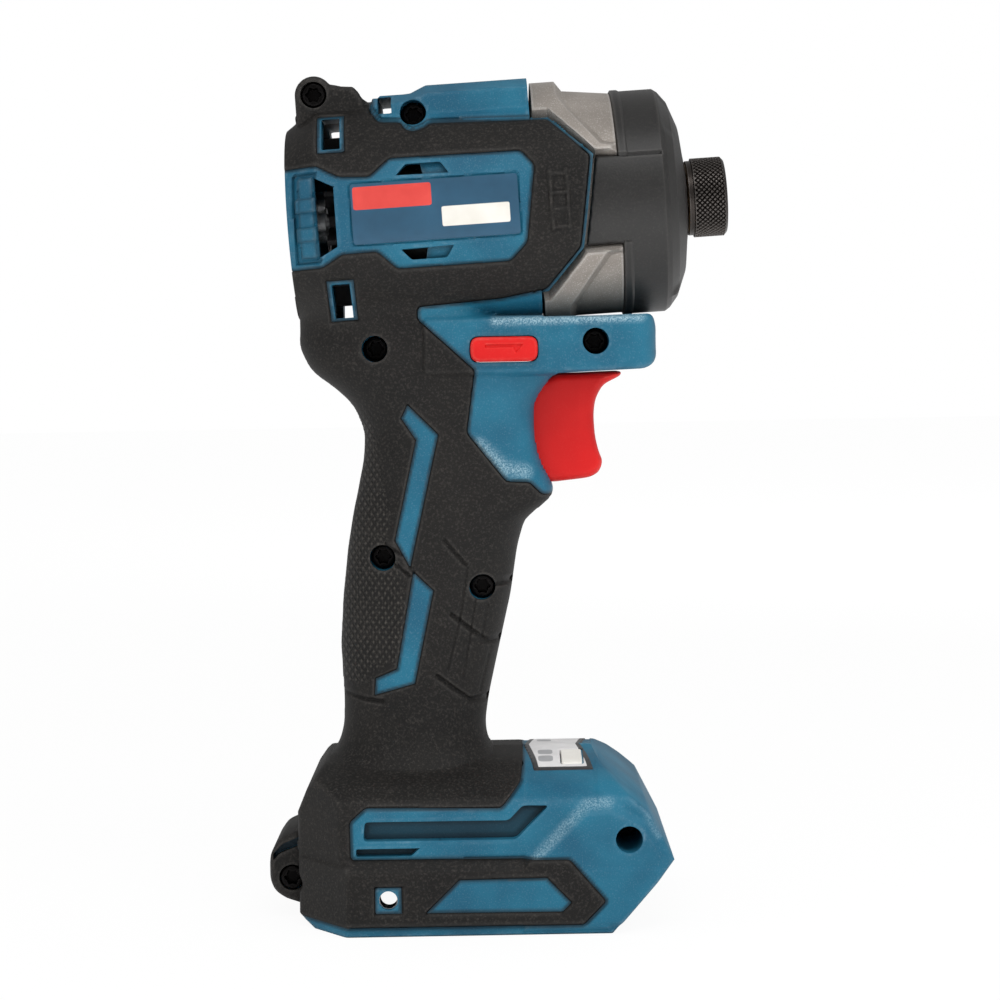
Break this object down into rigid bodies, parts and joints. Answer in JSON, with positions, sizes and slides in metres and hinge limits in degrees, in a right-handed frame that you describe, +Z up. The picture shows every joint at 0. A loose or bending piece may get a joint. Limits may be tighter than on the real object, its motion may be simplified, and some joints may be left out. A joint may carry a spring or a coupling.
{
  "type": "impact driver",
  "caption": "Cordless pistol-grip impact driver without battery: two-tone shell, hammer case, quick-change bit sleeve, trigger, direction button and working planetary drive inside.",
  "frame": {"origin": "middle of the tool's box at the level of the sole", "axes": "+X towards the nose, +Z up along the grip, +Y to the tool's left"},
  "size_m": [0.1156, 0.0704, 0.2057],
  "materials": {
    "shell_plastic": "moulded nylon, fine satin grain",
    "soft_rubber": "moulded soft rubber, fine grain",
    "bumper_rubber": "smooth matt rubber",
    "cast_aluminium": "die cast, sparkly grain",
    "machined_steel": "turned and ground",
    "dark_steel": "hardened, black oxide",
    "spring_steel": "drawn wire",
    "screw_steel": "zinc plated, dark",
    "core_iron": "stacked sheet iron",
    "magnet": "nickel plated",
    "copper_wire": "enamelled copper winding",
    "bronze": "sintered bronze",
    "contact_brass": "plated contact",
    "circuit_board": "solder mask",
    "black_plastic": "glass-filled nylon",
    "white_plastic": "acetal",
    "red_plastic": "moulded, satin",
    "label_film": "printed film, blank",
    "panel_film": "silver membrane, blank",
    "lens": "clear moulded lens",
    "wire_cover": "silicone wire cover",
    "heat_sink_metal": "extruded"
  },
  "bodies": {
    "housing": {"housing_right": "shell_plastic", "housing_left": "shell_plastic", "grip_right": "soft_rubber", "grip_left": "soft_rubber", "housing_screws": "screw_steel", "hammer_case": "cast_aluminium", "nose_bumper": "bumper_rubber", "stator_core": "core_iron", "stator_coils": "copper_wire", "sensor_board": "circuit_board", "rear_bearing": "machined_steel", "front_bearing": "machined_steel", "motor_bracket": "cast_aluminium", "ring_gear": "dark_steel", "nose_bushing": "bronze", "thrust_washer": "machined_steel", "trigger_switch": "black_plastic", "control_tray": "black_plastic", "control_board": "circuit_board", "heat_sink": "heat_sink_metal", "terminal_block": "black_plastic", "terminal_blades": "contact_brass", "hook_nuts": "machined_steel", "rating_label": "label_film", "mode_panel": "panel_film", "panel_board": "circuit_board", "lamp_lens": "lens", "lamp_board": "circuit_board", "motor_leads": "wire_cover", "switch_leads": "wire_cover"},
    "rotor": {"rotor_core": "core_iron", "rotor_magnets": "magnet", "motor_shaft": "machined_steel", "cooling_fan": "black_plastic"},
    "spindle": {"spindle": "machined_steel", "planet_pins": "machined_steel", "cam_balls": "machined_steel", "spring_washer": "machined_steel", "hammer_spring": "spring_steel"},
    "planet_1": {"planet_gear_1": "machined_steel"},
    "planet_2": {"planet_gear_2": "machined_steel"},
    "hammer": {"hammer": "dark_steel"},
    "anvil": {"anvil": "dark_steel", "bit_balls": "machined_steel", "sleeve_washer": "spring_steel", "sleeve_clip": "spring_steel", "sleeve_spring": "spring_steel"},
    "sleeve": {"bit_sleeve": "dark_steel"},
    "trigger": {"trigger": "red_plastic", "trigger_plunger": "white_plastic", "trigger_spring": "spring_steel"},
    "direction_button": {"direction_button": "red_plastic"},
    "mode_key": {"mode_key": "white_plastic"}
  },
  "joints": [
    {"name": "spindle_spin", "type": "hinge", "parent": "housing", "child": "spindle", "pos_m": [0, 0, 0.1728], "axis": [0.9986, 0, 0.0523], "continuous": true},
    {"name": "rotor_spin", "type": "hinge", "parent": "housing", "child": "rotor", "pos_m": [0, 0, 0.1728], "axis": [0.9986, 0, 0.0523], "continuous": true},
    {"name": "planet_1_spin", "type": "hinge", "parent": "spindle", "child": "planet_1", "pos_m": [0, 0.0116, 0.1728], "axis": [0.9986, 0, 0.0523], "continuous": true},
    {"name": "planet_2_spin", "type": "hinge", "parent": "spindle", "child": "planet_2", "pos_m": [0, -0.0116, 0.1728], "axis": [0.9986, 0, 0.0523], "continuous": true},
    {"name": "hammer_slide", "type": "slide", "parent": "spindle", "child": "hammer", "axis": [0.9986, 0, 0.0523], "range_m": [-0.0055, 0], "stiffness_N_per_m": 3000, "springref_m": 0.004, "deforming": ["hammer_spring"]},
    {"name": "anvil_spin", "type": "hinge", "parent": "housing", "child": "anvil", "pos_m": [0, 0, 0.1728], "axis": [0.9986, 0, 0.0523], "continuous": true},
    {"name": "sleeve_slide", "type": "slide", "parent": "anvil", "child": "sleeve", "axis": [0.9986, 0, 0.0523], "range_m": [0, 0.0028], "stiffness_N_per_m": 1000, "springref_m": -0.002, "deforming": ["sleeve_spring"]},
    {"name": "trigger_slide", "type": "slide", "parent": "housing", "child": "trigger", "axis": [-1, 0, 0], "range_m": [0, 0.005], "stiffness_N_per_m": 1500, "springref_m": -0.003, "deforming": ["trigger_spring"]},
    {"name": "direction_slide", "type": "slide", "parent": "housing", "child": "direction_button", "axis": [0, 1, 0], "range_m": [-0.003, 0.003]},
    {"name": "mode_press", "type": "slide", "parent": "housing", "child": "mode_key", "axis": [0, 0, -1], "range_m": [0, 0.0005], "stiffness_N_per_m": 200, "springref_m": -0.0005}
  ],
  "couplings": [
    {"joint": "rotor_spin", "follows": "spindle_spin", "ratio": 5.8},
    {"joint": "planet_1_spin", "follows": "spindle_spin", "ratio": -2.5263},
    {"joint": "planet_2_spin", "follows": "spindle_spin", "ratio": -2.5263},
    {"joint": "anvil_spin", "follows": "spindle_spin", "ratio": 1}
  ]
}
